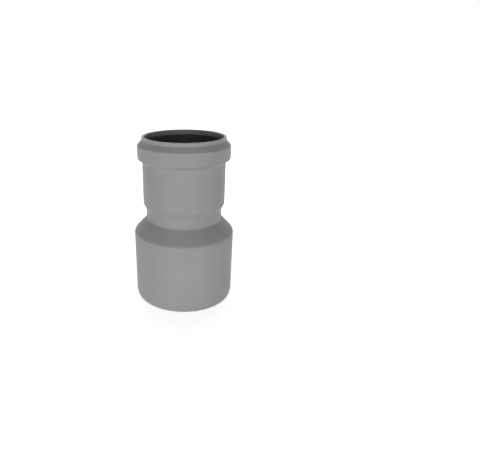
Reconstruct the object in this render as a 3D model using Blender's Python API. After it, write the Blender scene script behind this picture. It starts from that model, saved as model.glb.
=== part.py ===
"""Vent pipe reducer: a moulded plastic fitting that carries an 80 mm vent pipe on a 110 mm one.

The wide spigot at the foot pushes into a 110 mm socket. A cone draws it in to the neck, and the socket
above the neck takes the 80 mm pipe. The bead round the socket's mouth is hollow: its wall runs out round
a groove, and a rubber lip seal sits in that groove. Both pieces are outlines turned once round Z. The
foot of the spigot is at Z = 0. Lengths are in metres.
"""
from math import acos, atan2, cos, pi, radians, sin, tan

import bmesh
import bpy
import numpy as np

# Sizes of the two pipes
LARGE_PIPE_RADIUS = 0.0550
SMALL_PIPE_RADIUS = 0.0400

# Wall of the moulding, the same along the whole length
WALL = 0.0032

# Heights of the outside, stacked from the foot of the spigot up to the rim
SPIGOT_LENGTH = 0.0754
SHOULDER_RISE = 0.0147
NECK_LENGTH = 0.0110
STEP_RISE = 0.00625
SOCKET_LENGTH = 0.04535
LOWER_FLANK_RISE = 0.00366
BEAD_FACE_HEIGHT = 0.01364
UPPER_FLANK_RISE = 0.0051
RIM_HEIGHT = 0.0036

# Fit of the small pipe in its socket: the bore is drafted, closer at the stop than at the mouth
STOP_PLAY = 0.0004
MOUTH_PLAY = 0.0011
STOP_LEDGE = 0.0020
STOP_DROP = 0.0013

# Bead and the groove inside it
GROOVE_DEPTH = 0.0049

# Lead-in chamfer round the foot of the spigot, outside, and the broken edge inside it
LEAD_IN_LENGTH = 0.0050
LEAD_IN_DEPTH = 0.00115
FOOT_EDGE = 0.0006

# Most of a wall or of a straight side that one chamfer or fillet may take up
LARGEST_SHARE = 0.45

# Radii of the moulding's rounded corners
SHOULDER_FOOT_FILLET = 0.0050
SHOULDER_TOP_FILLET = 0.0040
STEP_FILLET = 0.0030
BEAD_FILLET = 0.0014
BEAD_ROOT_FILLET = 0.0010
GROOVE_FILLET = 0.0009
RIM_OUTER_FILLET = 0.0007
RIM_INNER_FILLET = 0.0012
STOP_FILLET = 0.0003

# Lip seal: play to the groove, squeeze of each lip on the pipe, and the form of its section
SEAL_PLAY = 0.0003
NOSE_SETBACK = 0.0002
BODY_SETBACK = 0.0006
FIRST_LIP_SQUEEZE = 0.0013
SECOND_LIP_SQUEEZE = 0.0009
FIRST_LIP_DROP = 0.0093
SECOND_LIP_DROP = 0.0148
LIP_TIP_HEIGHT = 0.0011
LIP_RISE = 0.0024
LIP_FILLET = 0.0005
SEAL_FILLET = 0.0006

# Facets round the axis, and facets in each rounded corner
FACETS_ROUND = 72
FACETS_IN_LARGE_FILLET = 4
FACETS_IN_SMALL_FILLET = 2
LARGE_FILLET = 0.0020

# Edges sharper than this stay sharp in the shading
SHARP_EDGE = radians(30)

# Radii that follow from the sizes above
MOUTH_BORE = SMALL_PIPE_RADIUS + MOUTH_PLAY
STOP_BORE = SMALL_PIPE_RADIUS + STOP_PLAY
NECK_BORE = SMALL_PIPE_RADIUS - STOP_LEDGE
NECK_OUTSIDE = NECK_BORE + WALL
SOCKET_OUTSIDE = MOUTH_BORE + WALL
BEAD_OUTSIDE = MOUTH_BORE + GROOVE_DEPTH + WALL

# Levels that follow from the heights above
SHOULDER_TOP = SPIGOT_LENGTH + SHOULDER_RISE
NECK_TOP = SHOULDER_TOP + NECK_LENGTH
STEP_TOP = NECK_TOP + STEP_RISE
BEAD_FOOT = STEP_TOP + SOCKET_LENGTH
FACE_FOOT = BEAD_FOOT + LOWER_FLANK_RISE
FACE_TOP = FACE_FOOT + BEAD_FACE_HEIGHT
BEAD_TOP = FACE_TOP + UPPER_FLANK_RISE
RIM_TOP = BEAD_TOP + RIM_HEIGHT
STOP_LEVEL = STEP_TOP - STOP_DROP


def parallel_shift(run_out, rise, inset):
    """Height by which a flank's ends move when its surface is set in by inset beside a straight wall."""
    lean = atan2(abs(run_out), rise)
    return inset * tan(lean / 2)


def shoulder_corners(inset):
    """Foot and top of the shoulder cone, for the outside (inset 0) or the surface inset below it."""
    drop = parallel_shift(LARGE_PIPE_RADIUS - NECK_OUTSIDE, SHOULDER_RISE, inset)
    foot = (LARGE_PIPE_RADIUS - inset, SPIGOT_LENGTH - drop)
    top = (NECK_OUTSIDE - inset, SHOULDER_TOP - drop)
    return foot, top


def bead_corners(inset):
    """The bead's four corners, bottom to top. Inset 0 is the outside, WALL the groove in it, and a
    little more the back of the seal, so that the three surfaces always nest."""
    stand_out = BEAD_OUTSIDE - SOCKET_OUTSIDE
    lift = parallel_shift(stand_out, LOWER_FLANK_RISE, inset)
    drop = parallel_shift(stand_out, UPPER_FLANK_RISE, inset)
    return (
        (SOCKET_OUTSIDE - inset, BEAD_FOOT + lift),
        (BEAD_OUTSIDE - inset, FACE_FOOT + lift),
        (BEAD_OUTSIDE - inset, FACE_TOP - drop),
        (SOCKET_OUTSIDE - inset, BEAD_TOP - drop),
    )


def point_at_radius(start, end, radius):
    """Point with the given radius on the straight line through start and end."""
    share = (radius - start[0]) / (end[0] - start[0])
    return radius, start[1] + share * (end[1] - start[1])


def unit(vector):
    """Vector of length one along the given one."""
    return vector / np.linalg.norm(vector)


def rounded(corners):
    """Closed outline through corners (r, z, fillet), each rounded by an arc tangent to its two sides.

    The arc's centre lies on the corner's bisector, at fillet / sin(half the corner's angle). A fillet
    takes up less than half of the shorter side next to it.
    """
    points = []
    for index, (r, z, fillet) in enumerate(corners):
        corner = np.array((r, z))
        if fillet == 0:
            points.append(corner)
            continue
        back = np.array(corners[index - 1][:2]) - corner
        ahead = np.array(corners[(index + 1) % len(corners)][:2]) - corner
        half = acos(np.clip(unit(back) @ unit(ahead), -1, 1)) / 2
        room = LARGEST_SHARE * min(np.linalg.norm(back), np.linalg.norm(ahead))
        tangent = min(fillet / tan(half), room)
        radius = tangent * tan(half)
        centre = corner + unit(unit(back) + unit(ahead)) * radius / sin(half)
        first = corner + unit(back) * tangent - centre
        last = corner + unit(ahead) * tangent - centre
        start = atan2(first[1], first[0])
        turn = (atan2(last[1], last[0]) - start + pi) % (2 * pi) - pi
        facets = FACETS_IN_LARGE_FILLET if fillet > LARGE_FILLET else FACETS_IN_SMALL_FILLET
        for angle in start + turn * np.linspace(0, 1, facets + 1):
            points.append(centre + radius * np.array((cos(angle), sin(angle))))
    return points


def turned(name, outline, material):
    """Named object whose solid is a closed (r, z) outline turned once round Z."""
    solid = bmesh.new()
    vertices = [solid.verts.new((r, 0, z)) for r, z in outline]
    edges = [solid.edges.new((vertices[i - 1], vertices[i])) for i in range(len(vertices))]
    bmesh.ops.spin(
        solid,
        geom=vertices + edges,
        cent=(0, 0, 0),
        axis=(0, 0, 1),
        angle=2 * pi,
        steps=FACETS_ROUND,
        use_merge=True,
    )
    bmesh.ops.recalc_face_normals(solid, faces=solid.faces)
    mesh = bpy.data.meshes.new(name)
    solid.to_mesh(mesh)
    solid.free()
    mesh.shade_smooth()
    mesh.set_sharp_from_angle(angle=SHARP_EDGE)
    mesh.materials.append(material)
    piece = bpy.data.objects.new(name, mesh)
    bpy.context.scene.collection.objects.link(piece)
    return piece


def plain_material(name, color, roughness, metallic):
    """Principled BSDF with one colour, roughness and metallic value."""
    material = bpy.data.materials.new(name)
    material.use_nodes = True
    shader = material.node_tree.nodes["Principled BSDF"]
    shader.inputs["Base Color"].default_value = (*color, 1)
    shader.inputs["Roughness"].default_value = roughness
    shader.inputs["Metallic"].default_value = metallic
    return material


def body_outline():
    """Section of the moulding: up the outside from the foot, over the rim, and down the inside."""
    lead_in_depth = min(LEAD_IN_DEPTH, WALL * LARGEST_SHARE)
    foot_edge = min(FOOT_EDGE, WALL * LARGEST_SHARE)
    shoulder_foot, shoulder_top = shoulder_corners(0)
    bead_foot, face_foot, face_top, bead_top = bead_corners(0)
    outside = [
        (LARGE_PIPE_RADIUS - lead_in_depth, 0, 0),
        (LARGE_PIPE_RADIUS, LEAD_IN_LENGTH, 0),
        (*shoulder_foot, SHOULDER_FOOT_FILLET),
        (*shoulder_top, SHOULDER_TOP_FILLET),
        (NECK_OUTSIDE, NECK_TOP, STEP_FILLET),
        (SOCKET_OUTSIDE, STEP_TOP, STEP_FILLET),
        (*bead_foot, BEAD_ROOT_FILLET),
        (*face_foot, BEAD_FILLET),
        (*face_top, BEAD_FILLET),
        (*bead_top, BEAD_ROOT_FILLET),
        (SOCKET_OUTSIDE, RIM_TOP, RIM_OUTER_FILLET),
    ]
    inner_shoulder_foot, inner_shoulder_top = shoulder_corners(WALL)
    groove_foot, groove_low, groove_high, groove_top = bead_corners(WALL)
    inside = [
        (MOUTH_BORE, RIM_TOP, RIM_INNER_FILLET),
        (*groove_top, STOP_FILLET),
        (*groove_high, GROOVE_FILLET),
        (*groove_low, GROOVE_FILLET),
        (*groove_foot, STOP_FILLET),
        (STOP_BORE, STOP_LEVEL, STOP_FILLET),
        (NECK_BORE, STOP_LEVEL, STOP_FILLET),
        (*inner_shoulder_top, SHOULDER_TOP_FILLET + WALL),
        (*inner_shoulder_foot, max(SHOULDER_FOOT_FILLET - WALL, 0)),
        (LARGE_PIPE_RADIUS - WALL, foot_edge, 0),
        (LARGE_PIPE_RADIUS - WALL + foot_edge, 0, 0),
    ]
    return rounded(outside + inside)


def lip(drop, squeeze):
    """One sealing lip, top to bottom: its rounded tip, which points down and inwards to squeeze on the
    pipe, and the root under it. The drop is measured from the groove's upper edge to the tip's top."""
    groove_top = bead_corners(WALL)[3][1]
    tip = SMALL_PIPE_RADIUS - squeeze
    tip_top = groove_top - drop
    tip_bottom = tip_top - LIP_TIP_HEIGHT
    return [
        (tip, tip_top, LIP_FILLET),
        (tip, tip_bottom, LIP_FILLET),
        (MOUTH_BORE + BODY_SETBACK, tip_bottom + LIP_RISE, LIP_FILLET),
    ]


def seal_outline():
    """Section of the lip seal: down its working side from the nose, then up its back in the groove."""
    back_foot, back_low, back_high, back_top = bead_corners(WALL + SEAL_PLAY)
    nose = point_at_radius(back_high, back_top, MOUTH_BORE + NOSE_SETBACK)
    tail = point_at_radius(back_low, back_foot, MOUTH_BORE + BODY_SETBACK)
    return rounded([
        (*nose, SEAL_FILLET),
        *lip(FIRST_LIP_DROP, FIRST_LIP_SQUEEZE),
        *lip(SECOND_LIP_DROP, SECOND_LIP_SQUEEZE),
        (*tail, SEAL_FILLET),
        (*back_low, GROOVE_FILLET),
        (*back_high, GROOVE_FILLET),
    ])


for leftover in list(bpy.data.objects):
    bpy.data.objects.remove(leftover)

grey_plastic = plain_material("grey_plastic", (0.30, 0.30, 0.30), 0.45, 0.0)
black_rubber = plain_material("black_rubber", (0.02, 0.02, 0.02), 0.6, 0.0)

turned("reducer_body", body_outline(), grey_plastic)
turned("lip_seal", seal_outline(), black_rubber)
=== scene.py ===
# %% [markdown]
# # A vent pipe reducer
#
# A reducer joins two pipes of different size in a vent or flue. The wide spigot at the foot pushes into
# a 110 mm socket, the cone draws it in to the neck, and the socket on top takes an 80 mm pipe. The bead
# round the socket's mouth is hollow, and a black rubber ring with two soft lips sits in it.
#
# The real thing is two mouldings, so the scene has two pieces. Both are round, which makes this a
# lesson in turned shapes: one outline, rounded corner by corner, carried once round the axis.

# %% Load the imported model
from math import cos, pi, radians, sin

import bpy
import numpy as np
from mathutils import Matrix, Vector


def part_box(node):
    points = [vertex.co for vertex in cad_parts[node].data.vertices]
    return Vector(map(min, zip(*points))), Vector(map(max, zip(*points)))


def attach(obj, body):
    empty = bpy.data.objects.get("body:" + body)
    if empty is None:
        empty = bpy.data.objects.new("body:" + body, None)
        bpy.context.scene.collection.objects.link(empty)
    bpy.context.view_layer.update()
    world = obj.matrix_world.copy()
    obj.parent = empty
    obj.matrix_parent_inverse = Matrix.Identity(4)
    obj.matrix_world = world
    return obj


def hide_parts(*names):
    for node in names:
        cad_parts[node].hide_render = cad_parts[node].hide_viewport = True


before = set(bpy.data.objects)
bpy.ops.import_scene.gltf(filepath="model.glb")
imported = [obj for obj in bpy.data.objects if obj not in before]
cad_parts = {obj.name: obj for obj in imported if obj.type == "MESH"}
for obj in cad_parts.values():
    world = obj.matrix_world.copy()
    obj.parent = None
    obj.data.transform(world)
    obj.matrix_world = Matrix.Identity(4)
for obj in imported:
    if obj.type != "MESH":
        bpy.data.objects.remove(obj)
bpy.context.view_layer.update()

MM = 0.001
body_low, body_high = (np.array(corner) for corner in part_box("reducer_body"))
seal_low, seal_high = (np.array(corner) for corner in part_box("lip_seal"))
print("reducer", np.round((body_high - body_low) / MM, 2), "mm")
print("seal from", round(seal_low[2] / MM, 2), "to", round(seal_high[2] / MM, 2), "mm")

# %% [markdown]
# ## The camera
#
# The two ends of a reducer are true cylinders, but from close by they look tapered, and the ellipses
# open up towards the foot. Those two effects give away where the camera stood: the distance, height and
# tilt below make the outline of a 110 mm spigot fall where the picture has it. A lens shift puts the
# axis left of the middle, as a cropped product picture has it, and leaves the perspective alone.

# %% Camera
PICTURE_WIDTH = 480
PICTURE_HEIGHT = 468
AXIS_COLUMN = 184.0
AIM_ROW = 220.5
FOCAL_PIXELS = 405.75
SENSOR_WIDTH_MM = 36
CAMERA_DISTANCE = 0.4241
CAMERA_HEIGHT = 0.2486
CAMERA_TILT = radians(21.17)

camera_data = bpy.data.cameras.new("camera")
camera_data.sensor_width = SENSOR_WIDTH_MM
camera_data.lens = FOCAL_PIXELS / PICTURE_WIDTH * SENSOR_WIDTH_MM
camera_data.shift_x = (PICTURE_WIDTH / 2 - AXIS_COLUMN) / PICTURE_WIDTH
camera_data.shift_y = (AIM_ROW - PICTURE_HEIGHT / 2) / PICTURE_WIDTH
camera_data.clip_start = 0.01
camera = bpy.data.objects.new("camera", camera_data)
camera.location = (0, -CAMERA_DISTANCE, CAMERA_HEIGHT)
camera.rotation_euler = (pi / 2 - CAMERA_TILT, 0, 0)
bpy.context.scene.collection.objects.link(camera)
bpy.context.scene.camera = camera
print("lens", round(camera_data.lens, 2), "mm")
print("shift", round(camera_data.shift_x, 3), round(camera_data.shift_y, 3))

# %% [markdown]
# ## Small helpers for node trees
#
# Every finish below is built from a few kinds of node, so a handful of helpers keeps the recipes short.
# A node group is to a material what a function is to a script: it is written once and used with other
# values in each place. Its sockets have names, like a function's arguments.

# %% Node helpers
NOISE_ROUGHNESS = 0.55


def add_node(tree, kind, values=None, **settings):
    """New node of the given kind, with settings as its properties and values as its inputs."""
    node = tree.nodes.new(kind)
    for name, value in settings.items():
        setattr(node, name, value)
    for name, value in (values or {}).items():
        node.inputs[name].default_value = value
    return node


def feed(tree, socket, value):
    """Gives an input a number, or links another node's output to it."""
    if isinstance(value, (int, float)):
        socket.default_value = value
    else:
        tree.links.new(value, socket)


def calculate(tree, operation, first, second, clamp=False):
    """Result of one sum on two values."""
    node = add_node(tree, "ShaderNodeMath", operation=operation, use_clamp=clamp)
    feed(tree, node.inputs[0], first)
    feed(tree, node.inputs[1], second)
    return node.outputs["Value"]


def map_range(tree, value, old, new):
    """Value carried from the old (low, high) range to the new one, and held inside it."""
    node = add_node(tree, "ShaderNodeMapRange", {
        "From Min": old[0],
        "From Max": old[1],
        "To Min": new[0],
        "To Max": new[1],
    })
    feed(tree, node.inputs["Value"], value)
    return node.outputs["Result"]


def mix_colors(tree, factor, first, second):
    """Colour between two others, each an (r, g, b) value or another node's output."""
    node = add_node(tree, "ShaderNodeMix", data_type="RGBA")
    sockets = {socket.name: socket for socket in node.inputs if socket.enabled}
    feed(tree, sockets["Factor"], factor)
    for socket, color in ((sockets["A"], first), (sockets["B"], second)):
        if isinstance(color, tuple):
            socket.default_value = (*color, 1)
        else:
            tree.links.new(color, socket)
    return next(socket for socket in node.outputs if socket.enabled)


def noise(tree, vector, size_mm, detail):
    """Noise whose blotches are about size_mm across, with detail finer layers on top of each other."""
    node = add_node(tree, "ShaderNodeTexNoise", {"Detail": detail, "Roughness": NOISE_ROUGHNESS})
    feed(tree, node.inputs["Vector"], vector)
    feed(tree, node.inputs["Scale"], calculate(tree, "DIVIDE", 1 / MM, size_mm))
    return node.outputs["Fac"]


def new_group(name, inputs, outputs):
    """Empty node group with float inputs {name: default} and float outputs, and its two end nodes."""
    group = bpy.data.node_groups.new(name, "ShaderNodeTree")
    for label, default in inputs.items():
        socket = group.interface.new_socket(label, in_out="INPUT", socket_type="NodeSocketFloat")
        socket.default_value = default
    for label in outputs:
        group.interface.new_socket(label, in_out="OUTPUT", socket_type="NodeSocketFloat")
    print("group", name, "gives", ", ".join(outputs))
    return group, add_node(group, "NodeGroupInput").outputs, add_node(group, "NodeGroupOutput").inputs


# %% [markdown]
# ## Grain, the skin of a moulding
#
# A mould is never a mirror. Its steel is spark-eroded to a very fine, even grain, and the plastic takes
# a print of it. Slow clouds lie over the grain, where the melt cooled a little sooner or later, and
# they change the gloss more than the colour. They are drawn out along the axis, the way the melt ran.
# One group makes both from the object's own coordinates, so that the pattern sticks to the piece. A
# noise is built on a lattice that starts at the origin, so the clouds are shifted off the axis. Without
# that, the lattice would cut the piece in half and show as an upright line down the front.

# %% Group: moulded grain
GRAIN_DETAIL = 3.0
CLOUD_DETAIL = 2.0
CLOUD_SHIFT = (3.7 * MM, 5.3 * MM, 2.9 * MM)

grain_group, given, result = new_group(
    "moulded_grain",
    {"Grain Size": 0.4, "Cloud Size": 18.0, "Stretch": 0.5},
    ("Grain", "Clouds"),
)
place = add_node(grain_group, "ShaderNodeTexCoord").outputs["Object"]
drawn_out = add_node(grain_group, "ShaderNodeCombineXYZ", {"X": 1.0, "Y": 1.0})
feed(grain_group, drawn_out.inputs["Z"], given["Stretch"])
along_axis = add_node(grain_group, "ShaderNodeVectorMath", operation="MULTIPLY_ADD")
feed(grain_group, along_axis.inputs[0], place)
feed(grain_group, along_axis.inputs[1], drawn_out.outputs["Vector"])
along_axis.inputs[2].default_value = CLOUD_SHIFT
fine_grain = noise(grain_group, place, given["Grain Size"], GRAIN_DETAIL)
slow_clouds = noise(grain_group, along_axis.outputs["Vector"], given["Cloud Size"], CLOUD_DETAIL)
feed(grain_group, result["Grain"], fine_grain)
feed(grain_group, result["Clouds"], slow_clouds)

# %% [markdown]
# ## Tool lines
#
# The moulds of round parts are themselves turned on a lathe. However well they are polished, faint
# rings stay in the steel and print into the part. A ring keeps its radius and its height all the way
# round, so a noise that is fed only those two numbers can't help but make rings.

# %% Group: tool lines
LINE_DETAIL = 2.0

lines_group, given, result = new_group("tool_lines", {"Line Width": 0.5, "Depth": 1.0}, ("Lines",))
place = add_node(lines_group, "ShaderNodeTexCoord").outputs["Object"]
parts = add_node(lines_group, "ShaderNodeSeparateXYZ")
feed(lines_group, parts.inputs["Vector"], place)
squared = calculate(
    lines_group,
    "ADD",
    calculate(lines_group, "MULTIPLY", parts.outputs["X"], parts.outputs["X"]),
    calculate(lines_group, "MULTIPLY", parts.outputs["Y"], parts.outputs["Y"]),
)
ring = add_node(lines_group, "ShaderNodeCombineXYZ")
feed(lines_group, ring.inputs["X"], calculate(lines_group, "SQRT", squared, 0.0))
feed(lines_group, ring.inputs["Z"], parts.outputs["Z"])
rings = noise(lines_group, ring.outputs["Vector"], given["Line Width"], LINE_DETAIL)
feed(lines_group, result["Lines"], calculate(lines_group, "MULTIPLY", rings, given["Depth"]))

# %% [markdown]
# ## Rubbed edges
#
# Where a part is handled, its outer edges are rubbed smooth and a little paler before anything else
# shows. The turned surfaces further down carry an attribute named edge, which is 1 on every rounded
# outer corner and fades to 0 beside it. This group breaks that even band up with a noise, so that it
# reads as wear and not as a painted line.

# %% Group: rubbed edge
PATCH_DETAIL = 4.0

edge_group, given, result = new_group(
    "rubbed_edge",
    {"Edge": 0.0, "Patch Size": 5.0, "Bareness": 0.35, "Contrast": 2.5},
    ("Mask",),
)
place = add_node(edge_group, "ShaderNodeTexCoord").outputs["Object"]
patches = noise(edge_group, place, given["Patch Size"], PATCH_DETAIL)
patchy = calculate(edge_group, "MULTIPLY", given["Edge"], patches)
above = calculate(edge_group, "SUBTRACT", patchy, given["Bareness"])
feed(edge_group, result["Mask"], calculate(edge_group, "MULTIPLY", above, given["Contrast"], clamp=True))

# %% [markdown]
# ## One recipe, two finishes
#
# The plastic and the rubber are wired alike, with their own amounts. The clouds tint the colour a
# little, the rubbed edges change it a little more, and the roughness follows both. Grain and tool lines
# together make the height of the bump. What stays the same all over, such as the refractive index, is
# set on the shader's own socket.

# %% Recipe
CLOUD_RANGE = (0.25, 0.75)


def moulded_material(name, color, tint, worn, roughness, worn_roughness, bump_mm, groups, constants):
    """Material of a moulding.

    The colour runs from color towards tint with the clouds, and then towards worn with the rubbed
    edges. The roughness is a (smooth, dull) pair that the clouds move between, and worn_roughness on the
    edges: dullness + mask * (worn_roughness - dullness). The bump's height is the grain plus the tool
    lines, times bump_mm. groups gives each group's own values, and constants the shader's.
    """
    material = bpy.data.materials.new(name)
    material.use_nodes = True
    tree = material.node_tree
    shader = tree.nodes["Principled BSDF"]
    for label, value in constants.items():
        shader.inputs[label].default_value = value

    grain, lines, edge = (
        add_node(tree, "ShaderNodeGroup", values, node_tree=group)
        for group, values in zip((grain_group, lines_group, edge_group), groups)
    )
    corner = add_node(tree, "ShaderNodeAttribute", attribute_name="edge").outputs["Fac"]
    feed(tree, edge.inputs["Edge"], corner)
    mask = edge.outputs["Mask"]
    clouds = map_range(tree, grain.outputs["Clouds"], CLOUD_RANGE, (0.0, 1.0))
    clouded = mix_colors(tree, clouds, color, tint)
    feed(tree, shader.inputs["Base Color"], mix_colors(tree, mask, clouded, worn))

    dullness = map_range(tree, clouds, (0.0, 1.0), roughness)
    change = calculate(tree, "SUBTRACT", worn_roughness, dullness)
    rubbed = calculate(tree, "MULTIPLY", mask, change)
    feed(tree, shader.inputs["Roughness"], calculate(tree, "ADD", dullness, rubbed))

    height = calculate(tree, "ADD", grain.outputs["Grain"], lines.outputs["Lines"])
    bump = add_node(tree, "ShaderNodeBump", {"Strength": 1.0, "Distance": bump_mm * MM})
    feed(tree, bump.inputs["Height"], height)
    feed(tree, shader.inputs["Normal"], bump.outputs["Normal"])
    return material


# %% [markdown]
# ## The two materials
#
# The moulding is mid grey polypropylene, as indoor waste and vent pipe is: even in colour, satin, and a
# shade darker where the clouds lie. The seal is black rubber. It is duller, and its rubbed lips are
# greyer than the rest, because rubber picks up dust and talc where it is touched.

# %% Materials
grey_plastic = moulded_material(
    "grey_plastic",
    color=(0.300, 0.300, 0.300),
    tint=(0.284, 0.284, 0.285),
    worn=(0.345, 0.345, 0.345),
    roughness=(0.42, 0.54),
    worn_roughness=0.36,
    bump_mm=0.045,
    groups=(
        {"Grain Size": 0.45, "Cloud Size": 16.0, "Stretch": 0.4},
        {"Line Width": 0.7, "Depth": 0.5},
        {"Patch Size": 5.0, "Bareness": 0.30, "Contrast": 2.2},
    ),
    constants={"IOR": 1.49, "Specular IOR Level": 0.45},
)
black_rubber = moulded_material(
    "black_rubber",
    color=(0.012, 0.012, 0.012),
    tint=(0.017, 0.017, 0.017),
    worn=(0.040, 0.040, 0.039),
    roughness=(0.52, 0.66),
    worn_roughness=0.60,
    bump_mm=0.040,
    groups=(
        {"Grain Size": 0.30, "Cloud Size": 9.0, "Stretch": 1.0},
        {"Line Width": 0.35, "Depth": 0.8},
        {"Patch Size": 2.5, "Bareness": 0.25, "Contrast": 2.0},
    ),
    constants={"IOR": 1.52, "Specular IOR Level": 0.3},
)
print("materials", grey_plastic.name, black_rubber.name)

# %% [markdown]
# ## From corners to an outline
#
# A draughtsman draws a turned part as half its section: straight lines, and a radius at each corner. The
# outline is made the same way here. Each row of corners is (radius, height, fillet), and all the arcs
# are worked out at once, as one array. Bevelling the finished mesh would round it too, but an outline
# gives every corner its own radius, as the drawing of a mould does.

# %% Rounded outline
LARGEST_SHARE = 0.45


def rounded_outline(corners, arc_steps):
    """Closed outline with an arc at every corner, and how far each arc turns.

    Beside a corner, the outline leaves its side at fillet / tan(half the corner's angle), or at
    LARGEST_SHARE of the side if that is less. The arc's centre lies on the bisector, at
    radius / sin(half the angle). Its points step evenly from the first side's normal to the second's.
    """
    corner = corners[:, :2]
    back = np.roll(corner, 1, axis=0) - corner
    ahead = np.roll(corner, -1, axis=0) - corner
    back_length = np.linalg.norm(back, axis=1)
    ahead_length = np.linalg.norm(ahead, axis=1)
    back /= back_length[:, None]
    ahead /= ahead_length[:, None]
    half = np.arccos(np.clip((back * ahead).sum(axis=1), -1, 1)) / 2
    room = LARGEST_SHARE * np.minimum(back_length, ahead_length)
    touch = np.minimum(corners[:, 2] / np.tan(half), room)
    radius = touch * np.tan(half)
    bisector = back + ahead
    bisector /= np.linalg.norm(bisector, axis=1)[:, None]
    centre = corner + bisector * (radius / np.sin(half))[:, None]
    first = corner + back * touch[:, None] - centre
    last = corner + ahead * touch[:, None] - centre
    start = np.arctan2(first[:, 1], first[:, 0])
    turn = (np.arctan2(last[:, 1], last[:, 0]) - start + pi) % (2 * pi) - pi
    angle = start[:, None] + turn[:, None] * np.linspace(0, 1, arc_steps + 1)
    arc = np.stack((np.cos(angle), np.sin(angle)), axis=2) * radius[:, None, None]
    return (centre[:, None] + arc).reshape(-1, 2), turn


# %% [markdown]
# ## Points in between, and wear
#
# The straight runs between the arcs get points too, so that a corner's wear has somewhere to fade. Each
# point then gets a wear value: all of it on an outer corner, less and less away from it, and none in a
# hollow that no hand or box ever rubs. The value is worked out along the outline, so it costs nothing to
# carry it round the axis later.

# %% Runs and wear


def filled_runs(outline, spacing):
    """Outline with extra points, so that no two are further apart than spacing.

    Side k is cut into ceil(length / spacing) equal steps, and point j of it lies at the share j / steps.
    Returns the points and how far along the outline each one lies.
    """
    closed = np.vstack((outline, outline[:1]))
    length = np.linalg.norm(np.diff(closed, axis=0), axis=1)
    steps = np.maximum(np.ceil(length / spacing).astype(int), 1)
    side = np.repeat(np.arange(len(steps)), steps)
    share = (np.arange(len(side)) - np.repeat(np.cumsum(steps) - steps, steps)) / steps[side]
    points = closed[side] + share[:, None] * (closed[side + 1] - closed[side])
    return points, (np.cumsum(length) - length)[side] + share * length[side]


def edge_wear(along, outline_length, arc_middles, arc_halves, strength, fade):
    """Wear of each outline point, from 0 to 1: the largest, over all outer corners, of the corner's
    strength times exp(-d / fade), where d is the way along the outline from the corner's arc."""
    apart = np.abs(along[:, None] - arc_middles[None, :])
    apart = np.minimum(apart, outline_length - apart)
    beyond = np.maximum(apart - arc_halves[None, :], 0)
    return (strength[None, :] * np.exp(-beyond / fade)).max(axis=1)


def worn_outline(corners, arc_steps, spacing, fade):
    """Filled outline of the corners, the way along it, and the wear of each point.

    A corner that juts out is worn by as much as it turns, up to a quarter turn; a hollow corner isn't.
    """
    rounded, turn = rounded_outline(corners, arc_steps)
    points, along = filled_runs(rounded, spacing)
    length = along[-1] + np.linalg.norm(points[0] - points[-1])
    gaps = np.linalg.norm(np.diff(np.vstack((rounded, rounded[:1])), axis=0), axis=1)
    reached = (np.cumsum(gaps) - gaps).reshape(len(corners), arc_steps + 1)
    middles = (reached[:, 0] + reached[:, -1]) / 2
    halves = (reached[:, -1] - reached[:, 0]) / 2
    strength = np.clip(turn / (pi / 2), 0, 1)
    print(len(corners), "corners,", len(points), "points,", int((turn > 0).sum()), "of them jut out")
    return points, along, edge_wear(along, length, middles, halves, strength, fade), reached


# %% [markdown]
# ## From an outline to a surface
#
# A turned surface is a function of two parameters, the angle round the axis and the place along the
# outline: x = r cos(angle), y = r sin(angle), z = height. The outline is closed and so is the turn, so
# the grid of points wraps both ways, and every face is a quad with no pole and no seam. The real
# moulding has one thing that a lathe wouldn't give it. Its outside is shaped by two mould halves, and
# where they meet a hair of plastic stands up, down both sides. It is a few hundredths of a millimetre
# high, so the columns of the grid crowd together there.

# %% Turned surface


def column_angles(count, crowded=(), crowd_width=0, crowd_count=1):
    """Angles of the grid's columns: count even ones, and crowd_count more round each crowded angle."""
    even = np.arange(count) / count * 2 * pi
    extra = np.array(crowded)[:, None] + np.linspace(-1, 1, crowd_count)[None, :] * crowd_width
    return np.unique(np.round(np.concatenate((even, extra.ravel() % (2 * pi))), 7))


def turned_piece(name, points, wear, angles, ridge, material):
    """Mesh object of an outline turned round Z, with a height field added to its radius.

    The point at column i and outline place j is (R cos a, R sin a, z), with R = r[j] + ridge[i, j]. The
    outline runs up the outside and down the inside, so each quad's corners, taken as this column, the
    next, the next one up and back, face outwards.
    """
    radius = points[None, :, 0] + ridge
    grid = np.stack((
        radius * np.cos(angles)[:, None],
        radius * np.sin(angles)[:, None],
        np.broadcast_to(points[None, :, 1], radius.shape),
    ), axis=2)
    columns, places = radius.shape
    index = np.arange(columns * places).reshape(columns, places)
    beside = np.roll(index, -1, axis=0)
    quads = np.stack((index, beside, np.roll(beside, -1, axis=1), np.roll(index, -1, axis=1)), axis=2)

    mesh = bpy.data.meshes.new(name)
    mesh.vertices.add(grid.size // 3)
    mesh.vertices.foreach_set("co", grid.astype(np.float32).ravel())
    mesh.loops.add(quads.size)
    mesh.loops.foreach_set("vertex_index", quads.astype(np.int32).ravel())
    mesh.polygons.add(quads.size // 4)
    mesh.polygons.foreach_set("loop_start", np.arange(0, quads.size, 4, dtype=np.int32))
    mesh.update(calc_edges=True)
    mesh.validate()
    mesh.shade_smooth()
    everywhere = np.broadcast_to(wear[None, :], radius.shape)
    edge = mesh.attributes.new("edge", "FLOAT", "POINT")
    edge.data.foreach_set("value", everywhere.astype(np.float32).ravel())
    mesh.materials.append(material)
    piece = bpy.data.objects.new(name, mesh)
    bpy.context.scene.collection.objects.link(piece)
    print(name, columns, "columns by", places, "places,", quads.size // 2, "triangles")
    return piece


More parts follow.
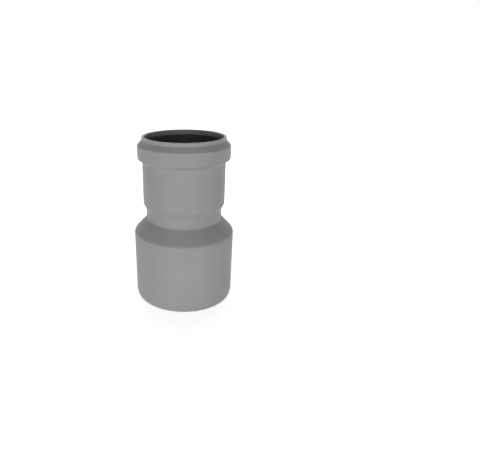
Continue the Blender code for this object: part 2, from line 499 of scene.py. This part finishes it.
# %% [markdown]
# ## Sizes of the reducer
#
# A moulding has one wall thickness from end to end, or it would warp. So the outside is drawn once, and
# every inner surface is that outline set in by the wall: the bore of the cone, and the groove in the
# bead. Set in a little further, the same bead outline is the back of the seal. Only the socket's bore
# has a line of its own, because it is drafted: a little closer at the stop than at the mouth.

# %% Sizes
spigot_radius = body_high[0]
rim_top = body_high[2]
SMALL_PIPE_RADIUS = 40.0 * MM
WALL = 3.2 * MM
SPIGOT_LENGTH = 75.4 * MM
SHOULDER_RISE = 14.7 * MM
NECK_LENGTH = 11.0 * MM
STEP_RISE = 6.25 * MM
SOCKET_LENGTH = 45.35 * MM
LOWER_FLANK_RISE = 3.66 * MM
BEAD_FACE_HEIGHT = 13.64 * MM
UPPER_FLANK_RISE = 5.1 * MM
STOP_PLAY = 0.4 * MM
MOUTH_PLAY = 1.1 * MM
STOP_LEDGE = 2.0 * MM
STOP_DROP = 1.3 * MM
GROOVE_DEPTH = 4.9 * MM

mouth_bore = SMALL_PIPE_RADIUS + MOUTH_PLAY
neck_bore = SMALL_PIPE_RADIUS - STOP_LEDGE
neck_outside = neck_bore + WALL
socket_outside = mouth_bore + WALL
bead_outside = socket_outside + GROOVE_DEPTH
shoulder_top = SPIGOT_LENGTH + SHOULDER_RISE
neck_top = shoulder_top + NECK_LENGTH
step_top = neck_top + STEP_RISE
bead_foot = step_top + SOCKET_LENGTH
face_foot = bead_foot + LOWER_FLANK_RISE
face_top = face_foot + BEAD_FACE_HEIGHT
bead_top = face_top + UPPER_FLANK_RISE
stop_level = step_top - STOP_DROP
print("rim stands", round((rim_top - bead_top) / MM, 2), "mm above the bead")

# %% [markdown]
# ## Setting the outline in
#
# An upright wall is set in by taking the inset off its radius. Where a sloping flank meets that wall,
# though, the corner also slides up or down it, or the wall would come out thinner on the slope. These
# helpers give the corners of the shoulder and of the bead for any inset, so the same lines draw the
# outside, the bore, the groove and the back of the seal.

# %% Inset corners


def parallel_shift(run_out, rise, inset):
    """How far a flank's ends move up or down when its surface is set in beside a straight wall: the
    inset times the tangent of half the flank's lean."""
    return inset * np.tan(np.arctan2(abs(run_out), rise) / 2)


def shoulder_corners(inset):
    """Foot and top of the shoulder cone, set in from the outside."""
    drop = parallel_shift(spigot_radius - neck_outside, SHOULDER_RISE, inset)
    return (spigot_radius - inset, SPIGOT_LENGTH - drop), (neck_outside - inset, shoulder_top - drop)


def bead_corners(inset):
    """The bead's four corners from the bottom up, set in from the outside."""
    lift = parallel_shift(GROOVE_DEPTH, LOWER_FLANK_RISE, inset)
    drop = parallel_shift(GROOVE_DEPTH, UPPER_FLANK_RISE, inset)
    return (
        (socket_outside - inset, bead_foot + lift),
        (bead_outside - inset, face_foot + lift),
        (bead_outside - inset, face_top - drop),
        (socket_outside - inset, bead_top - drop),
    )


# %% [markdown]
# ## The moulding
#
# The outline starts at the foot's outer edge, climbs the outside to the rim, and comes back down the
# inside past the groove, the stop and the cone. Every corner is rounded, the small ones too, because no
# mould has a perfectly sharp edge, and it is the tiny radius that catches the light. The foot is drawn
# in on the outside, so that it finds its way into the next socket.

# %% Corners of the moulding
LEAD_IN_HEIGHT = 5.0 * MM
LEAD_IN_DEPTH = 1.15 * MM
FOOT_CHAMFER = 0.6 * MM

outer_shoulder = shoulder_corners(0)
inner_shoulder = shoulder_corners(WALL)
outer_bead = bead_corners(0)
groove = bead_corners(WALL)
spigot_bore = spigot_radius - WALL
body_corners = np.array([
    (spigot_radius - LEAD_IN_DEPTH, 0, 0.25 * MM),
    (spigot_radius, LEAD_IN_HEIGHT, 2.0 * MM),
    (*outer_shoulder[0], 5.0 * MM),
    (*outer_shoulder[1], 4.0 * MM),
    (neck_outside, neck_top, 3.0 * MM),
    (socket_outside, step_top, 3.0 * MM),
    (*outer_bead[0], 1.0 * MM),
    (*outer_bead[1], 1.4 * MM),
    (*outer_bead[2], 1.4 * MM),
    (*outer_bead[3], 1.0 * MM),
    (socket_outside, rim_top, 0.7 * MM),
    (mouth_bore, rim_top, 1.2 * MM),
    (*groove[3], 0.3 * MM),
    (*groove[2], 0.9 * MM),
    (*groove[1], 0.9 * MM),
    (*groove[0], 0.3 * MM),
    (SMALL_PIPE_RADIUS + STOP_PLAY, stop_level, 0.3 * MM),
    (neck_bore, stop_level, 0.3 * MM),
    (*inner_shoulder[1], 7.2 * MM),
    (*inner_shoulder[0], 1.8 * MM),
    (spigot_bore, FOOT_CHAMFER, 0.2 * MM),
    (spigot_bore + FOOT_CHAMFER, 0, 0.2 * MM),
])
OUTSIDE_CORNERS = 11
print("the outside has", OUTSIDE_CORNERS, "of the", len(body_corners), "corners")

# %% [markdown]
# ## Turning the moulding
#
# The outline is turned once round the axis. The ridges where the mould halves met lie left and right,
# and only on the outside, since the bore is shaped by cores. A ridge is a low hump in the height field:
# its height falls off as exp(-(d / width) squared), where d is the way round from the side.

# %% Reducer body
ARC_STEPS = 6
RUN_SPACING = 3.5 * MM
COLUMNS = 264
RIDGE_HEIGHT = 0.05 * MM
RIDGE_WIDTH = 0.16 * MM
RIDGE_COLUMNS = 9
RIDGE_CROWD = 0.007
WEAR_FADE = 0.6 * MM

points, along, wear, reached = worn_outline(body_corners, ARC_STEPS, RUN_SPACING, WEAR_FADE)
angles = column_angles(COLUMNS, (0, pi), RIDGE_CROWD, RIDGE_COLUMNS)
off_side = np.minimum(angles % pi, pi - angles % pi)
profile = np.exp(-(off_side[:, None] * points[None, :, 0] / RIDGE_WIDTH) ** 2)
outside = (along > reached[1, 0]) & (along < reached[OUTSIDE_CORNERS - 1, 0])
ridge = RIDGE_HEIGHT * profile * outside[None, :]
reducer_body = turned_piece("reducer_moulding", points, wear, angles, ridge, grey_plastic)
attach(reducer_body, "root")
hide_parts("reducer_body")

# %% [markdown]
# ## The lip seal
#
# The ring is held by its back, which is the groove's own outline with a hair of play. Its working side
# starts at a nose just behind the bore, runs down a long slope that guides the pipe in, and ends in a
# lip that bends away under the pipe. A second, shorter lip waits below. The lips point down, into the
# socket, so that pressure from inside pushes them harder against the pipe.

# %% Lip seal
SEAL_PLAY = 0.3 * MM
NOSE_SETBACK = 0.2 * MM
BODY_SETBACK = 0.6 * MM
LIP_TIP_HEIGHT = 1.1 * MM
LIP_RISE = 2.4 * MM
LIPS = ((9.3 * MM, 1.3 * MM), (14.8 * MM, 0.9 * MM))
LIP_FILLET = 0.5 * MM
BORE_FILLET = 0.6 * MM
BACK_FILLET = 0.9 * MM
SEAL_COLUMNS = 320
SEAL_ARC_STEPS = 8
SEAL_SPACING = 0.9 * MM


def at_radius(start, end, radius):
    """Point with the given radius on the line through start and end."""
    share = (radius - start[0]) / (end[0] - start[0])
    return radius, start[1] + share * (end[1] - start[1])


back = bead_corners(WALL + SEAL_PLAY)
nose = at_radius(back[2], back[3], mouth_bore + NOSE_SETBACK)
tail = at_radius(back[1], back[0], mouth_bore + BODY_SETBACK)
seal_corners = [(*nose, BORE_FILLET)]
for drop, squeeze in LIPS:
    tip = SMALL_PIPE_RADIUS - squeeze
    tip_top = groove[3][1] - drop
    tip_bottom = tip_top - LIP_TIP_HEIGHT
    seal_corners += [
        (tip, tip_top, LIP_FILLET),
        (tip, tip_bottom, LIP_FILLET),
        (mouth_bore + BODY_SETBACK, tip_bottom + LIP_RISE, LIP_FILLET),
    ]
seal_corners += [(*tail, BORE_FILLET), (*back[1], BACK_FILLET), (*back[2], BACK_FILLET)]
seal_corners = np.array(seal_corners)
points, along, wear, reached = worn_outline(seal_corners, SEAL_ARC_STEPS, SEAL_SPACING, WEAR_FADE)
angles = column_angles(SEAL_COLUMNS)
no_ridge = np.zeros((len(angles), len(points)))
lip_seal = turned_piece("seal_ring", points, wear, angles, no_ridge, black_rubber)
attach(lip_seal, "root")
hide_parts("lip_seal")

# %% [markdown]
# ## The white table
#
# The piece stands on a pale matt table. The pure white that the camera sees there isn't light on the
# piece: it is a glow that only seen rays meet, which are camera rays and the reflections that go with
# them. So the ground can be white without washing out the grey. Round the foot the glow is weaker, and
# the table's own shading shows through it as a soft shadow, which is what makes the piece stand.

# %% Floor
FLOOR_RADIUS = 12.0
FLOOR_SIDES = 128
FLOOR_DROP = 0.2 * MM
FLOOR_WHITE = (0.88, 0.88, 0.88)
FLOOR_ROUGHNESS = 0.9
FLOOR_GLOW = (0.68, 1.0)
FLOOR_GLOW_RANGE = (0.12, 0.50)


def seen_rays(tree):
    """1 for camera, glossy and transmission rays, and 0 for the rest, which carry the light."""
    path = add_node(tree, "ShaderNodeLightPath").outputs
    direct = calculate(tree, "MAXIMUM", path["Is Camera Ray"], path["Is Glossy Ray"])
    return calculate(tree, "MAXIMUM", direct, path["Is Transmission Ray"])


ring_angles = np.arange(FLOOR_SIDES) / FLOOR_SIDES * 2 * pi
ring_points = np.stack((np.cos(ring_angles), np.sin(ring_angles)), axis=1) * FLOOR_RADIUS
floor_points = np.column_stack((ring_points, np.full(FLOOR_SIDES, -FLOOR_DROP)))
floor_mesh = bpy.data.meshes.new("floor")
floor_mesh.from_pydata(floor_points.tolist(), [], [tuple(range(FLOOR_SIDES))])
floor = bpy.data.objects.new("floor", floor_mesh)
bpy.context.scene.collection.objects.link(floor)
floor_material = bpy.data.materials.new("white_table")
floor_material.use_nodes = True
tree = floor_material.node_tree
table = tree.nodes["Principled BSDF"]
table.inputs["Base Color"].default_value = (*FLOOR_WHITE, 1)
table.inputs["Roughness"].default_value = FLOOR_ROUGHNESS
table.inputs["Specular IOR Level"].default_value = 0.0
away = add_node(tree, "ShaderNodeVectorMath", operation="LENGTH")
feed(tree, away.inputs[0], add_node(tree, "ShaderNodeTexCoord").outputs["Object"])
glow_here = map_range(tree, away.outputs["Value"], FLOOR_GLOW_RANGE, FLOOR_GLOW)
glow = add_node(tree, "ShaderNodeEmission")
feed(tree, glow.inputs["Strength"], calculate(tree, "MULTIPLY", seen_rays(tree), glow_here))
both = add_node(tree, "ShaderNodeAddShader")
feed(tree, both.inputs[0], table.outputs["BSDF"])
feed(tree, both.inputs[1], glow.outputs["Emission"])
feed(tree, tree.nodes["Material Output"].inputs["Surface"], both.outputs["Shader"])
floor_mesh.materials.append(floor_material)
print("floor", FLOOR_RADIUS * 2, "m across")

# %% [markdown]
# ## The lamps
#
# Three long, low strips stand at the height of the spigot, in front and to both sides. They give the
# walls one even tone that falls off gently to the right, and they miss the cones, which face up. A
# softbox above the camera reaches the rim and the mouth. Two more hang overhead and to the rear, and
# mostly light the table, which throws light back up under the bead. A small spot does the same in front
# of the foot, where the piece's own shadow would make the spigot's lower end too dark. Nothing bright
# hangs in the part of the ceiling that the cones mirror, so they come out darker than the walls. The
# strips are kept out of reflections, because from behind the piece their mirror image lies along the
# wall's very edge and would burn it out.

# %% Lamps
STRIP_DISTANCE = 0.85
STRIP_HEIGHT = 0.045
STRIP_SIZE = (0.75, 0.08)
STRIP_TURNS = {"front": -2, "left": -52, "right": 52}
STRIP_WATTS = {"front": 2.65, "left": 1.45, "right": 1.0}
# Each softbox: where it hangs, the point that it faces, its two sides in metres, and its watts.
SOFTBOXES = {
    "key": ((0, -1.2, 0.50), (0, 0, 0.09), (0.9, 0.35), 2.9),
    "overhead": ((0, 0.3, 1.2), (0, 0, 0), (1.2, 0.6), 3.4),
    "rear": ((0, 1.0, 1.0), (0, 0, 0), (1.2, 0.8), 6.0),
}
SPOT_WATTS = 4.0
SPOT_CONE = radians(17)
SPOT_SOURCE = 0.05
SPOT_PLACE = (0, -0.9, 0.35)
SPOT_AIM = (0, -0.15, 0)


def aim_lamp(data, location, aim):
    """Hangs a lamp at a place, facing a point."""
    lamp = bpy.data.objects.new(data.name, data)
    lamp.location = location
    lamp.rotation_euler = (Vector(aim) - Vector(location)).to_track_quat("-Z", "Y").to_euler()
    bpy.context.scene.collection.objects.link(lamp)
    return lamp


def softbox(name, location, aim, size, power):
    """Rectangular area lamp that faces a point."""
    data = bpy.data.lights.new(name, "AREA")
    data.shape = "RECTANGLE"
    data.size, data.size_y = size
    data.energy = power
    return aim_lamp(data, location, aim)


for name, degrees in STRIP_TURNS.items():
    turn = radians(degrees)
    stand = (STRIP_DISTANCE * sin(turn), -STRIP_DISTANCE * cos(turn), STRIP_HEIGHT)
    strip = softbox(name, stand, (0, 0, STRIP_HEIGHT), STRIP_SIZE, STRIP_WATTS[name])
    strip.visible_glossy = False
for name, (place, aim, size, power) in SOFTBOXES.items():
    softbox(name, place, aim, size, power)
spot_data = bpy.data.lights.new("foot", "SPOT")
spot_data.energy = SPOT_WATTS
spot_data.spot_size = SPOT_CONE
spot_data.spot_blend = 1.0
spot_data.shadow_soft_size = SPOT_SOURCE
aim_lamp(spot_data, SPOT_PLACE, SPOT_AIM)
print("lamps", [lamp.name for lamp in bpy.data.lights])

# %% [markdown]
# ## The room
#
# The world stands for the room. As a light it is only a faint grey, so that no shadow is quite black.
# The camera sees it as a white backdrop all round. The piece mirrors it white at the horizon, where it
# meets the table, and fading to black overhead, so that a satin surface that faces up mirrors a dark
# ceiling, as it would in a real studio.

# %% World
AMBIENT = 0.03
MIRRORED = (1.0, 0.0)
MIRRORED_RANGE = (0.15, 0.7)

world = bpy.data.worlds.new("studio")
bpy.context.scene.world = world
world.use_nodes = True
tree = world.node_tree
direction = add_node(tree, "ShaderNodeTexCoord").outputs["Generated"]
heading = add_node(tree, "ShaderNodeSeparateXYZ")
feed(tree, heading.inputs["Vector"], direction)
ambient = tree.nodes["Background"]
ambient.inputs["Color"].default_value = (1, 1, 1, 1)
ambient.inputs["Strength"].default_value = AMBIENT
white = add_node(tree, "ShaderNodeBackground", {"Color": (1, 1, 1, 1), "Strength": 1.0})
mirrored = map_range(tree, heading.outputs["Z"], MIRRORED_RANGE, MIRRORED)
camera_ray = add_node(tree, "ShaderNodeLightPath").outputs["Is Camera Ray"]
feed(tree, white.inputs["Strength"], calculate(tree, "MAXIMUM", camera_ray, mirrored))
pick = add_node(tree, "ShaderNodeMixShader")
feed(tree, pick.inputs["Fac"], seen_rays(tree))
feed(tree, pick.inputs[1], ambient.outputs["Background"])
feed(tree, pick.inputs[2], white.outputs["Background"])
feed(tree, tree.nodes["World Output"].inputs["Surface"], pick.outputs["Shader"])
bpy.context.scene.view_settings.view_transform = "Standard"
print("world", world.name, "lights at strength", AMBIENT)
